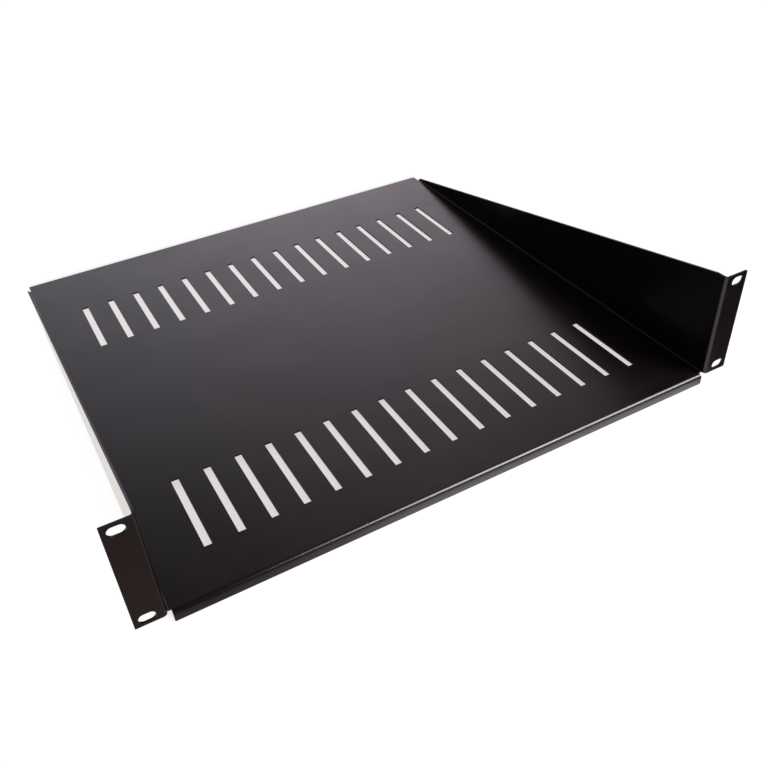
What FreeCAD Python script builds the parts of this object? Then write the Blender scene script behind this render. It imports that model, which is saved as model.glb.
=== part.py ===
import FreeCAD, Part
import os

# Cantilever rack shelf, two rack units high, folded from one sheet of steel.
# The tray's front edge turns down as a lip, its two sides turn up as walls that
# taper towards the rear, and each wall's front edge turns outwards as a mounting ear.

# Frame: millimetres, +X to the right, +Y into the rack, +Z up. The origin is the
# centre of the four mounting slots, on the ears' back faces, which seat on the rails.

# Rack interface: the slots' centres lie in from the ears' outer and level edges
panel_width = 482.6
ear_height = 88.1
slot_to_outer_edge = 8.75
slot_to_level_edge = 5.95
mounting_slot_length = 11.0
mounting_slot_width = 7.2

# Sheet and folds
sheet = 1.5
inside_bend_radius = 1.5

# Body: the ears reach out past the walls, which pass between the rack's rails
ear_reach = 19.3
tray_depth = 447.0
lip_drop = 8.5
wall_level_run = 9.5
corner_radius = 0.6

# Corner reliefs: in front where the lip, a wall and an ear meet, and at the rear,
# where the tray is left flat behind the end of a wall
relief_past_bend = 1.0
relief_beside_lip = 2.5
rear_relief_length = 10.0

# Vents: two rows of narrow slots that run front to back
vent_width = 5.6
vent_length = 71.5
vent_pitch = 24.1
vent_side_margin = 36.0
front_vent_margin = 40.0
rear_vent_margin = 68.5

# Sizes and places worked out from those above
body_width = panel_width - 2 * ear_reach
slot_column_spacing = panel_width - 2 * slot_to_outer_edge
slot_row_spacing = ear_height - 2 * slot_to_level_edge
outside_bend_radius = inside_bend_radius + sheet
front = -sheet
rear = front + tray_depth
ear_bottom = -ear_height / 2
ear_top = ear_height / 2
tray_top = ear_bottom
tray_underside = tray_top - sheet
wall_outside = body_width / 2
wall_inside = wall_outside - sheet
wall_end = rear - rear_relief_length
side_fold_top = tray_underside + outside_bend_radius
lip_end = wall_inside - relief_beside_lip
relief_back = front + outside_bend_radius + relief_past_bend
level_end = front + wall_level_run

RIGHT = FreeCAD.Vector(1, 0, 0)
BACK = FreeCAD.Vector(0, 1, 0)
UP = FreeCAD.Vector(0, 0, 1)


def line(start, end):
    return Part.LineSegment(start, end).toShape()


def arc(start, middle, end):
    return Part.Arc(start, middle, end).toShape()


def folded_angle(corner, first_way, first_leg, second_way, second_leg, length):
    """A sheet folded once: two flat legs and a round bend.

    The corner is where the two outer faces would meet. The section is drawn from
    it along the two ways, and pushed square to both of them.
    """
    def at(along_first, along_second):
        return corner + first_way * along_first + second_way * along_second

    outer = outside_bend_radius
    outer_middle = outer * (1 - 0.5 ** 0.5)
    inner_middle = outer - inside_bend_radius * 0.5 ** 0.5
    section = Part.Wire([
        line(at(first_leg, 0), at(outer, 0)),
        arc(at(outer, 0), at(outer_middle, outer_middle), at(0, outer)),
        line(at(0, outer), at(0, second_leg)),
        line(at(0, second_leg), at(sheet, second_leg)),
        line(at(sheet, second_leg), at(sheet, outer)),
        arc(at(sheet, outer), at(inner_middle, inner_middle), at(outer, sheet)),
        line(at(outer, sheet), at(first_leg, sheet)),
        line(at(first_leg, sheet), at(first_leg, 0)),
    ])
    return Part.Face(section).extrude(first_way.cross(second_way) * length)


def round_corners(solid, corners):
    """Round the edges that run front to back through these front-view corners."""
    def lies_at(point, x, z):
        return abs(point.x - x) + abs(point.z - z) < sheet / 100

    edges = [
        edge for edge in solid.Edges for x, z in corners
        if all(lies_at(vertex.Point, x, z) for vertex in edge.Vertexes)
    ]
    return solid.makeFillet(corner_radius, edges)


def side_outline():
    """Side view of the tray and its wall: level behind the ear, then a long taper
    that runs down to the top of the side fold."""
    outline = [
        (relief_back, tray_underside),
        (wall_end, tray_underside),
        (wall_end, side_fold_top),
        (level_end, ear_top),
        (relief_back, ear_top),
    ]
    points = [FreeCAD.Vector(0, y, z) for y, z in outline]
    face = Part.Face(Part.makePolygon(points + points[:1]))
    return face.extrude(RIGHT * wall_outside)


def tray_and_wall():
    corner = FreeCAD.Vector(wall_outside, relief_back, tray_underside)
    wall_height = ear_top - tray_underside
    fold = folded_angle(corner, -RIGHT, wall_outside, UP, wall_height, wall_end - relief_back)
    return fold.common(side_outline())


def tray_rear():
    """The flat end of the tray, as wide as its flat between the side folds."""
    corner = FreeCAD.Vector(0, wall_end, tray_underside)
    half_width = wall_outside - outside_bend_radius
    return Part.makeBox(half_width, rear_relief_length, sheet, corner)


def front_lip():
    corner = FreeCAD.Vector(lip_end, front, tray_top)
    lip = folded_angle(corner, BACK, relief_back - front, -UP, lip_drop, lip_end)
    return round_corners(lip, [(lip_end, tray_top - lip_drop)])


def mounting_ear():
    corner = FreeCAD.Vector(wall_inside, front, ear_bottom)
    ear_width = panel_width / 2 - wall_inside
    ear = folded_angle(corner, RIGHT, ear_width, BACK, relief_back - front, ear_height)
    return round_corners(ear, [(panel_width / 2, ear_bottom), (panel_width / 2, ear_top)])


def mounting_slot(x, z):
    """Cutter for one slot with round ends, which lies across the ear."""
    radius = mounting_slot_width / 2
    half_run = mounting_slot_length / 2 - radius

    def at(across, up):
        return FreeCAD.Vector(x + across, front - sheet, z + up)

    outline = Part.Wire([
        line(at(-half_run, radius), at(half_run, radius)),
        arc(at(half_run, radius), at(half_run + radius, 0), at(half_run, -radius)),
        line(at(half_run, -radius), at(-half_run, -radius)),
        arc(at(-half_run, -radius), at(-half_run - radius, 0), at(-half_run, radius)),
    ])
    return Part.Face(outline).extrude(BACK * 3 * sheet)


def mounting_slots():
    return [
        mounting_slot(side * slot_column_spacing / 2, level * slot_row_spacing / 2)
        for side in (-1, 1)
        for level in (-1, 1)
    ]


def vent_row(start):
    """Cutters for one row of vents, centred on the tray, as many as fit across it."""
    room = body_width - 2 * vent_side_margin - vent_width
    gaps = int(room / vent_pitch)
    row = []
    for index in range(gaps + 1):
        middle = (index - gaps / 2) * vent_pitch
        corner = FreeCAD.Vector(middle - vent_width / 2, start, tray_underside - sheet)
        row.append(Part.makeBox(vent_width, vent_length, 3 * sheet, corner))
    return row


def shelf():
    half = tray_and_wall().fuse([tray_rear(), front_lip(), mounting_ear()])
    whole = half.fuse(half.mirror(FreeCAD.Vector(0, 0, 0), RIGHT)).removeSplitter()
    front_row = vent_row(front + front_vent_margin)
    rear_row = vent_row(rear - rear_vent_margin - vent_length)
    return whole.cut(front_row + rear_row + mounting_slots()).Solids[0]


os.makedirs("parts", exist_ok=True)
shelf().exportStep("parts/shelf.step")
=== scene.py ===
import math

import bmesh
import bpy
from mathutils import Matrix, Vector


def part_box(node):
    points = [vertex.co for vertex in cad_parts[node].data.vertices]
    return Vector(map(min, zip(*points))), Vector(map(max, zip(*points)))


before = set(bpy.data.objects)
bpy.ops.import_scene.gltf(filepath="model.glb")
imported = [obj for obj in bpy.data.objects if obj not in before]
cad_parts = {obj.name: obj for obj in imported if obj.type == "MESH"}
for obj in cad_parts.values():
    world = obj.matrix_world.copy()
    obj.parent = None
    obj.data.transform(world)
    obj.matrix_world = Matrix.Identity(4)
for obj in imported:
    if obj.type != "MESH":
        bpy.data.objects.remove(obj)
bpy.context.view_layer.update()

# The shelf as built, in metres
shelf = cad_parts["shelf"]
low_corner, high_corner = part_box("shelf")
ear_edge = high_corner.x
rear_edge = high_corner.y
lip_bottom = low_corner.z
lip_middle = Vector((0, low_corner.y, lip_bottom))
sheet = 0.0015
tray_underside = -high_corner.z - sheet

# The coat rounds every cut edge of the sheet
coated_edge_radius = 0.0002
sharp_turn = math.radians(35)
join_distance = 0.000001

# The coat varies between two blacks, and a few specks of dust lie on it
deep_black = (0.0034, 0.0015, 0.0028, 1)
soft_black = (0.0046, 0.0024, 0.0038, 1)
dust_grey = (0.05, 0.05, 0.05, 1)
dust_cover = 0.5

# Its roughness: satin, and a little more in patches and smudges
satin = 0.29
duller_patch = 0.03
duller_smudge = 0.03

# It is less where the coat is seen edge on, between these two values of Facing
nearly_edge_on = 0.86
edge_on = 0.96
edge_on_roughness = 0.1
coat_ior = 1.5

# Its relief, in metres: the orange peel, and slow waves that bend what the tray mirrors
peel_depth = 0.000006
wave_depth = 0.0004

# The floor, in metres: its width, and how far from the shelf its shade reaches
floor_width = 12.0
shade_reach = 0.08

# Its paint, and the share of the light on it that the camera sees
lit_floor = (0.8, 0.79, 0.78, 1)
seen_light = (0.06, 0.06, 0.06, 1)

# The camera's own tones of it, in the open and in painted shade, between these two values of
# AO: a painted shadow under and beside the shelf
white = (1, 1, 1, 1)
shade_beside_shelf = (0.72, 0.69, 0.68, 1)
open_under_shelf = (0.77, 0.75, 0.74, 1)
shade_under_shelf = (0.66, 0.63, 0.62, 1)
full_shade = 0.05
no_shade = 0.6

# Its painted tones as the coat mirrors it: painted shade under the shelf, and white clear of it
mirrored_shade = (0.3, 0.29, 0.3, 1)
mirrored_floor = (0.99, 0.955, 0.93, 1)

# The light of the studio around it: the room, and the lit patch's left and right
dim_room = (0.135, 0.108, 0.108, 1)
left_light = (2.34, 2.29, 2.62, 1)
right_light = (2.22, 1.96, 2.2, 1)


# Helpers for nodes

def add_node(tree, kind, place, **settings):
    node = tree.nodes.new(kind)
    node.location = place
    for name, value in settings.items():
        setattr(node, name, value)
    return node


def feed(tree, value, socket):
    """Link another node's output to the socket, or set it to a plain value."""
    if isinstance(value, bpy.types.NodeSocket):
        tree.links.new(value, socket)
    else:
        socket.default_value = value


def math_node(tree, place, operation, *values):
    node = add_node(tree, "ShaderNodeMath", place, operation=operation)
    for socket, value in zip(node.inputs, values):
        feed(tree, value, socket)
    return node.outputs[0]


def even_step(tree, place, value, start, end):
    """Even rise from 0 at the start to 1 at the end."""
    node = add_node(tree, "ShaderNodeMapRange", place)
    for label, setting in (("Value", value), ("From Min", start), ("From Max", end)):
        feed(tree, setting, node.inputs[label])
    return node.outputs["Result"]


def smooth_step(tree, place, value, start, end, low=0.0):
    """Soft rise from the low value, 0 unless given, at the start to 1 at the end."""
    result = even_step(tree, place, value, start, end)
    result.node.interpolation_type = "SMOOTHSTEP"
    result.node.inputs["To Min"].default_value = low
    return result


def mix(tree, place, factor, first, second, data_type="RGBA"):
    node = add_node(tree, "ShaderNodeMix", place, data_type=data_type)
    for label, value in (("Factor", factor), ("A", first), ("B", second)):
        feed(tree, value, node.inputs[label])
    return node.outputs["Result"]


def noise(tree, place, vector, size, detail, distortion=0.0):
    """Noise whose features are about as large as the size, which is in metres."""
    node = add_node(tree, "ShaderNodeTexNoise", place)
    scale = math_node(tree, (place[0] - 180, place[1] - 160), "DIVIDE", 1.0, size)
    labels = ("Vector", "Scale", "Detail", "Distortion")
    for label, value in zip(labels, (vector, scale, detail, distortion)):
        feed(tree, value, node.inputs[label])
    return node.outputs["Fac"]


def new_group(name, inputs, outputs):
    """A shader node group with named sockets: each input is (name, kind, value)."""
    tree = bpy.data.node_groups.new(name, "ShaderNodeTree")
    for label, kind, value in inputs:
        socket = tree.interface.new_socket(label, in_out="INPUT", socket_type=kind)
        if value is not None:
            socket.default_value = value
    for label, kind in outputs:
        tree.interface.new_socket(label, in_out="OUTPUT", socket_type=kind)
    source = add_node(tree, "NodeGroupInput", (-800, 0))
    sink = add_node(tree, "NodeGroupOutput", (800, 0))
    return tree, source, sink


# The powder coat

def orange_peel_group():
    """The fine ripple of cured powder, with a finer grain on it."""
    tree, source, sink = new_group(
        "orange_peel",
        [
            ("Vector", "NodeSocketVector", None),
            ("Ripple Size", "NodeSocketFloat", 0.0016),
            ("Grain Size", "NodeSocketFloat", 0.0005),
            ("Grain Share", "NodeSocketFloat", 0.25),
        ],
        [("Height", "NodeSocketFloat")],
    )
    given = source.outputs
    ripple = noise(tree, (-300, 150), given["Vector"], given["Ripple Size"], detail=1.0)
    grain = noise(tree, (-300, -150), given["Vector"], given["Grain Size"], detail=1.0)
    fine = math_node(tree, (100, -150), "MULTIPLY", grain, given["Grain Share"])
    feed(tree, math_node(tree, (300, 0), "ADD", ripple, fine), sink.inputs["Height"])
    return tree


def patches_group():
    """Soft patches, as where a coat cured or was wiped unevenly."""
    tree, source, sink = new_group(
        "soft_patches",
        [
            ("Vector", "NodeSocketVector", None),
            ("Size", "NodeSocketFloat", 0.08),
            ("From", "NodeSocketFloat", 0.35),
            ("To", "NodeSocketFloat", 0.65),
        ],
        [("Mask", "NodeSocketFloat")],
    )
    given = source.outputs
    patches = noise(tree, (-300, 0), given["Vector"], given["Size"], detail=3.0, distortion=0.6)
    mask = smooth_step(tree, (200, 0), patches, given["From"], given["To"])
    feed(tree, mask, sink.inputs["Mask"])
    return tree


def dust_group():
    """Sparse specks of dust, each in a cell of its own."""
    tree, source, sink = new_group(
        "dust_specks",
        [
            ("Vector", "NodeSocketVector", None),
            ("Cell Size", "NodeSocketFloat", 0.012),
            ("Speck Size", "NodeSocketFloat", 0.02),
        ],
        [("Mask", "NodeSocketFloat")],
    )
    given = source.outputs
    cells = add_node(tree, "ShaderNodeTexVoronoi", (-300, 0), feature="F1")
    feed(tree, given["Vector"], cells.inputs["Vector"])
    scale = math_node(tree, (-500, -160), "DIVIDE", 1.0, given["Cell Size"])
    feed(tree, scale, cells.inputs["Scale"])
    distance = cells.outputs["Distance"]
    speck = math_node(tree, (100, 0), "LESS_THAN", distance, given["Speck Size"])
    feed(tree, speck, sink.inputs["Mask"])
    return tree


def bump(tree, place, height, depth):
    node = add_node(tree, "ShaderNodeBump", place)
    for label, value in (("Strength", 1.0), ("Distance", depth), ("Height", height)):
        feed(tree, value, node.inputs[label])
    return node


def black_powder_coat():
    """Satin black powder coat on folded steel."""
    material = bpy.data.materials.new("black_powder_coat_finish")
    material.use_nodes = True
    tree = material.node_tree
    shader = tree.nodes["Principled BSDF"]
    place = add_node(tree, "ShaderNodeTexCoord", (-1400, 0)).outputs["Object"]

    def use(group, position, **values):
        node = add_node(tree, "ShaderNodeGroup", position, node_tree=group)
        feed(tree, place, node.inputs["Vector"])
        for label, value in values.items():
            node.inputs[label].default_value = value
        return node.outputs[0]

    soft_patches = patches_group()
    patches = use(soft_patches, (-1000, 400), Size=0.09)
    smudges = use(soft_patches, (-1000, 150), Size=0.03, From=0.58, To=0.75)
    dust = use(dust_group(), (-1000, -100))
    peel = use(orange_peel_group(), (-1000, -350))
    waves = use(soft_patches, (-1000, -600), Size=0.25, From=0.2, To=0.8)

    coat = mix(tree, (-600, 400), patches, deep_black, soft_black)
    specks = math_node(tree, (-600, 150), "MULTIPLY", dust, dust_cover)
    feed(tree, mix(tree, (-350, 400), specks, coat, dust_grey), shader.inputs["Base Color"])

    patchy = math_node(tree, (-600, -50), "MULTIPLY", patches, duller_patch)
    uneven = math_node(tree, (-450, -50), "MULTIPLY_ADD", smudges, duller_smudge, patchy)
    roughness = math_node(tree, (-300, -50), "ADD", uneven, satin)
    feed(tree, glossier_edge_on(tree, (-300, 100), roughness), shader.inputs["Roughness"])

    ripple = bump(tree, (-500, -350), peel, peel_depth)
    bulge = bump(tree, (-250, -350), waves, wave_depth)
    feed(tree, ripple.outputs["Normal"], bulge.inputs["Normal"])
    feed(tree, bulge.outputs["Normal"], shader.inputs["Normal"])
    shader.inputs["IOR"].default_value = coat_ior
    return material


def glossier_edge_on(tree, place, roughness):
    """The roughness, which falls where the coat is seen almost edge on, as satin does."""
    x, y = place
    facing = add_node(tree, "ShaderNodeLayerWeight", (x - 400, y + 150)).outputs["Facing"]
    share = smooth_step(tree, (x - 200, y + 150), facing, nearly_edge_on, edge_on)
    return mix(tree, place, share, roughness, edge_on_roughness, data_type="FLOAT")


# The shelf's folds and edges

def smooth_folds():
    """Joins the sheet's faces and shades its folds round, with its cut edges sharp."""
    tree = bpy.data.node_groups.new("smooth_folds", "GeometryNodeTree")
    for way in ("INPUT", "OUTPUT"):
        tree.interface.new_socket("Geometry", in_out=way, socket_type="NodeSocketGeometry")
    source = add_node(tree, "NodeGroupInput", (-800, 0))
    joined = add_node(tree, "GeometryNodeMergeByDistance", (-600, 0))
    joined.inputs["Distance"].default_value = join_distance
    bare = add_node(tree, "GeometryNodeRemoveAttribute", (-350, 0))
    bare.inputs["Name"].default_value = "custom_normal"
    rounded = add_node(tree, "GeometryNodeSetShadeSmooth", (-100, 0), domain="FACE")
    rounded.inputs["Shade Smooth"].default_value = True
    turn = add_node(tree, "GeometryNodeInputMeshEdgeAngle", (-100, -200))
    sharp = add_node(tree, "FunctionNodeCompare", (100, -200), operation="GREATER_THAN")
    sharp.inputs["B"].default_value = sharp_turn
    crisp = add_node(tree, "GeometryNodeSetShadeSmooth", (350, 0), domain="EDGE")
    crisp.inputs["Shade Smooth"].default_value = False
    sink = add_node(tree, "NodeGroupOutput", (800, 0))
    chain = (source, joined, bare, rounded, crisp, sink)
    for earlier, later in zip(chain, chain[1:]):
        tree.links.new(earlier.outputs[0], later.inputs[0])
    tree.links.new(turn.outputs["Unsigned Angle"], sharp.inputs["A"])
    tree.links.new(sharp.outputs["Result"], crisp.inputs["Selection"])
    return tree


def finish_shelf():
    shelf.data.materials.clear()
    shelf.data.materials.append(black_powder_coat())
    folds = shelf.modifiers.new("smooth_folds", "NODES")
    folds.node_group = smooth_folds()
    edges = shelf.modifiers.new("coated_edges", "BEVEL")
    edges.width = coated_edge_radius
    edges.segments = 2
    edges.limit_method = "ANGLE"
    edges.angle_limit = sharp_turn
    flats = shelf.modifiers.new("flat_faces", "WEIGHTED_NORMAL")
    flats.mode = "FACE_AREA"
    flats.weight = 100
    flats.keep_sharp = True


# The floor

def pale_floor():
    """The floor that the shelf lies on: it touches the lip's lower edge and the tray's rear
    edge, so it is tilted by less than a degree."""
    tilt = math.atan2(tray_underside - lip_bottom, rear_edge)
    mesh = bpy.data.meshes.new("floor")
    form = bmesh.new()
    bmesh.ops.create_grid(form, x_segments=1, y_segments=1, size=floor_width / 2)
    turn = Matrix.Rotation(tilt, 3, "X")
    bmesh.ops.rotate(form, verts=form.verts, cent=(0, 0, 0), matrix=turn)
    bmesh.ops.translate(form, verts=form.verts, vec=(0, 0, lip_bottom))
    form.to_mesh(mesh)
    form.free()
    floor = bpy.data.objects.new("floor", mesh)
    bpy.context.scene.collection.objects.link(floor)
    floor.data.materials.append(floor_paint())


def floor_paint():
    """Plain pale floor. Light falls on it as on paint, the camera sees it white with a painted
    soft shadow under and beside the shelf, and the coat mirrors it in painted tones of its own."""
    material = bpy.data.materials.new("floor_paint")
    material.use_nodes = True
    tree = material.node_tree
    tree.nodes.remove(tree.nodes["Principled BSDF"])
    painted_reflection_tone, clear_of_shelf = floor_in_reflections(tree)

    plain = add_node(tree, "ShaderNodeBsdfDiffuse", (0, 300))
    plain.inputs["Color"].default_value = lit_floor

    # Painted shadow: ambient occlusion darkens the floor's emitted colour to the camera near
    # the shelf, and under the shelf it is painted darker still
    air = add_node(tree, "ShaderNodeAmbientOcclusion", (-700, 0), samples=16)
    air.inputs["Distance"].default_value = shade_reach
    open_floor = smooth_step(tree, (-500, 0), air.outputs["AO"], full_shade, no_shade)
    beside = mix(tree, (-350, 100), open_floor, shade_beside_shelf, white)
    below = mix(tree, (-350, -100), open_floor, shade_under_shelf, open_under_shelf)
    glow = add_node(tree, "ShaderNodeEmission", (-200, 0))
    feed(tree, mix(tree, (-300, 0), clear_of_shelf, below, beside), glow.inputs["Color"])
    shadow = add_node(tree, "ShaderNodeBsdfDiffuse", (-200, -100))
    shadow.inputs["Color"].default_value = seen_light
    seen = add_node(tree, "ShaderNodeAddShader", (0, 0))
    feed(tree, glow.outputs[0], seen.inputs[0])
    feed(tree, shadow.outputs[0], seen.inputs[1])

    # Painted reflection: glossy rays see the floor as an emission of the painted tones
    mirrored = add_node(tree, "ShaderNodeEmission", (0, -300))
    feed(tree, painted_reflection_tone, mirrored.inputs["Color"])

    path = add_node(tree, "ShaderNodeLightPath", (-200, 600)).outputs
    shiny = math_node(
        tree, (0, 500), "MAXIMUM", path["Is Glossy Ray"], path["Is Transmission Ray"]
    )
    unseen = mix_shaders(tree, (250, 200), shiny, plain, mirrored)
    choice = mix_shaders(tree, (500, 100), path["Is Camera Ray"], unseen, seen)
    feed(tree, choice.outputs[0], tree.nodes["Material Output"].inputs["Surface"])
    return material


def mix_shaders(tree, place, factor, first, second):
    node = add_node(tree, "ShaderNodeMixShader", place)
    for socket, value in zip(node.inputs, (factor, first.outputs[0], second.outputs[0])):
        feed(tree, value, socket)
    return node


def floor_in_reflections(tree):
    """What the coat mirrors of the floor, all painted: white beside and behind the shelf, and
    in front of it a painted pool of light on the right, as from the softbox, that fades to the
    left and past the right ear. Under the shelf it is painted shade. The second result is 1
    where the floor is clear of the shelf, and 0 under it."""
    place = add_node(tree, "ShaderNodeTexCoord", (-1400, -400)).outputs["Object"]
    split = add_node(tree, "ShaderNodeSeparateXYZ", (-1200, -400))
    feed(tree, place, split.inputs[0])
    x, y = split.outputs["X"], split.outputs["Y"]

    # The painted pool of light across the front: distance from the middle in metres, red, and
    #     green and blue as shares of the red
    levels = (
        (-0.22, 0.64, 0.73, 0.66),
        (-0.19, 0.54, 0.82, 0.76),
        (-0.1, 1.12, 0.86, 0.98),
        (-0.05, 1.8, 0.93, 1.0),
        (0.0, 2.05, 0.95, 1.0),
        (0.21, 2.0, 0.95, 1.0),
        (0.24, 0.24, 0.9, 0.95),
        (0.265, 0.1, 0.85, 0.9),
    )
    reach = 0.4
    pool = add_node(tree, "ShaderNodeValToRGB", (-800, -400))
    stops = pool.color_ramp.elements
    # The painted pool's two ends: a dim reddish tone at the left, and painted dark past the
    # right ear
    stops[0].position = 0.0
    stops[0].color = (0.74, 0.5, 0.45, 1)
    stops[1].position = 1.0
    stops[1].color = (0.06, 0.045, 0.05, 1)
    for distance, red, green, blue in levels:
        stop = stops.new((distance + reach) / (2 * reach))
        stop.color = (red, red * green, red * blue, 1)
    feed(tree, even_step(tree, (-1000, -400), x, -reach, reach), pool.inputs["Fac"])

    # The painted pool is brightest close to the lip, and falls off within 9 mm in front
    nearness = smooth_step(tree, (-1000, -850), y, -0.009, -0.001, low=0.62)
    fading = add_node(tree, "ShaderNodeVectorMath", (-600, -600), operation="SCALE")
    feed(tree, pool.outputs["Color"], fading.inputs[0])
    feed(tree, nearness, fading.inputs["Scale"])

    # The shelf's painted shade ends a little past its walls, its rear edge and its lip
    off_centre = math_node(tree, (-1000, -1050), "ABSOLUTE", x)
    past_wall = smooth_step(tree, (-800, -1050), off_centre, ear_edge - 0.03, ear_edge - 0.018)
    past_rear = smooth_step(tree, (-800, -1250), y, rear_edge, rear_edge + 0.01)
    past_lip = smooth_step(tree, (-800, -1450), y, 0.002, -0.002)
    past_sides = math_node(tree, (-600, -1100), "MAXIMUM", past_wall, past_rear)
    clear = math_node(tree, (-400, -1200), "MAXIMUM", past_sides, past_lip)

    around = mix(tree, (-400, -900), past_sides, mirrored_shade, mirrored_floor)
    behind_lip = smooth_step(tree, (-1000, -650), y, -sheet, 0.0)
    tone = mix(tree, (-200, -400), behind_lip, fading.outputs["Vector"], around)
    return tone, clear


# The light

def studio_world():
    """Soft studio light: a wide lit patch behind the shelf in an even dim room, and white to
    the camera."""
    world = bpy.data.worlds.new("studio")
    bpy.context.scene.world = world
    world.use_nodes = True
    tree = world.node_tree
    studio = tree.nodes["Background"]
    way = add_node(tree, "ShaderNodeTexCoord", (-1600, 0)).outputs["Generated"]
    split = add_node(tree, "ShaderNodeSeparateXYZ", (-1400, 0))
    feed(tree, way, split.inputs[0])
    heading = math_node(
        tree, (-1200, 200), "ARCTAN2", split.outputs["X"], split.outputs["Y"]
    )
    height = math_node(tree, (-1200, -200), "ARCSINE", split.outputs["Z"])

    # The patch's left, right, lower and upper edges, in degrees from dark to lit
    edges = ((heading, -25, 27), (heading, 58, 28), (height, 8, 18), (height, 47, 24))
    patch = 1.0
    for step, (angle, dark, lit) in enumerate(edges):
        row = 300 - 250 * step
        edge = smooth_step(tree, (-950, row), angle, math.radians(dark), math.radians(lit))
        patch = math_node(tree, (-700, row), "MULTIPLY", edge, patch)
    turned = smooth_step(tree, (-700, 600), heading, math.radians(-5), math.radians(35))
    light = mix(tree, (-550, 500), turned, left_light, right_light)
    feed(tree, mix(tree, (-400, 0), patch, dim_room, light), studio.inputs["Color"])

    backdrop = add_node(tree, "ShaderNodeBackground", (0, -200))
    backdrop.inputs["Color"].default_value = white
    path = add_node(tree, "ShaderNodeLightPath", (-400, 500)).outputs
    clear = math_node(
        tree, (-200, 400), "MAXIMUM", path["Is Camera Ray"], path["Is Transmission Ray"]
    )
    choice = mix_shaders(tree, (250, 0), clear, studio, backdrop)
    feed(tree, choice.outputs[0], tree.nodes["World Output"].inputs["Surface"])


def upwards(heading, height):
    """A way up from the shelf, in degrees: heading turns from straight behind it towards its
    right."""
    heading, height = math.radians(heading), math.radians(height)
    flat = math.cos(height)
    return Vector((math.sin(heading) * flat, math.cos(heading) * flat, math.sin(height)))


def gridded_softbox(name, place, back, width, tall, half_spread, radiance, tint):
    """Area lamp behind a grid, which keeps its light within an angle of the way it faces, so
    that it lights the front bend and spills little along the tray. Its back points the way
    given, its radiance is the one seen straight on, and the camera doesn't see it."""
    open_angle = math.radians(half_spread)
    grid_gain = math.tan(open_angle) / (math.tan(open_angle) - open_angle)
    data = bpy.data.lights.new(name, "AREA")
    data.shape = "RECTANGLE"
    data.size = width
    data.size_y = tall
    data.spread = 2 * open_angle
    data.energy = radiance / grid_gain * math.pi * width * tall
    data.color = tint
    lamp = bpy.data.objects.new(name, data)
    lamp.location = place
    lamp.visible_camera = False
    lamp.rotation_euler = back.to_track_quat("Z", "Y").to_euler()
    bpy.context.scene.collection.objects.link(lamp)


# The camera

def photo_camera():
    """The photograph's view, fitted to the shelf: in front of its left half, turned to the
    right, tipped down and leaning a little, in degrees."""
    turned_right, tipped_down, leaning = 27.18, 38.22, 3.36
    data = bpy.data.cameras.new("camera")
    data.sensor_width = 36
    data.lens = 39.32
    camera = bpy.data.objects.new("camera", data)
    place = Matrix.Translation((-0.2425, -0.34665, 0.37332))
    heading = Matrix.Rotation(math.radians(-turned_right), 4, "Z")
    dip = Matrix.Rotation(math.radians(90 - tipped_down), 4, "X")
    roll = Matrix.Rotation(math.radians(-leaning), 4, "Z")
    camera.matrix_world = place @ heading @ dip @ roll
    bpy.context.scene.collection.objects.link(camera)
    bpy.context.scene.camera = camera


finish_shelf()
pale_floor()
studio_world()
gridded_softbox(
    "front_right_softbox",
    place=lip_middle + 0.22 * upwards(126, 26),
    back=upwards(134, 48),
    width=0.4,
    tall=0.34,
    half_spread=22.8,
    radiance=35.5,
    tint=(1.0, 0.955, 0.965),
)
photo_camera()
bpy.context.scene.view_settings.view_transform = "Standard"
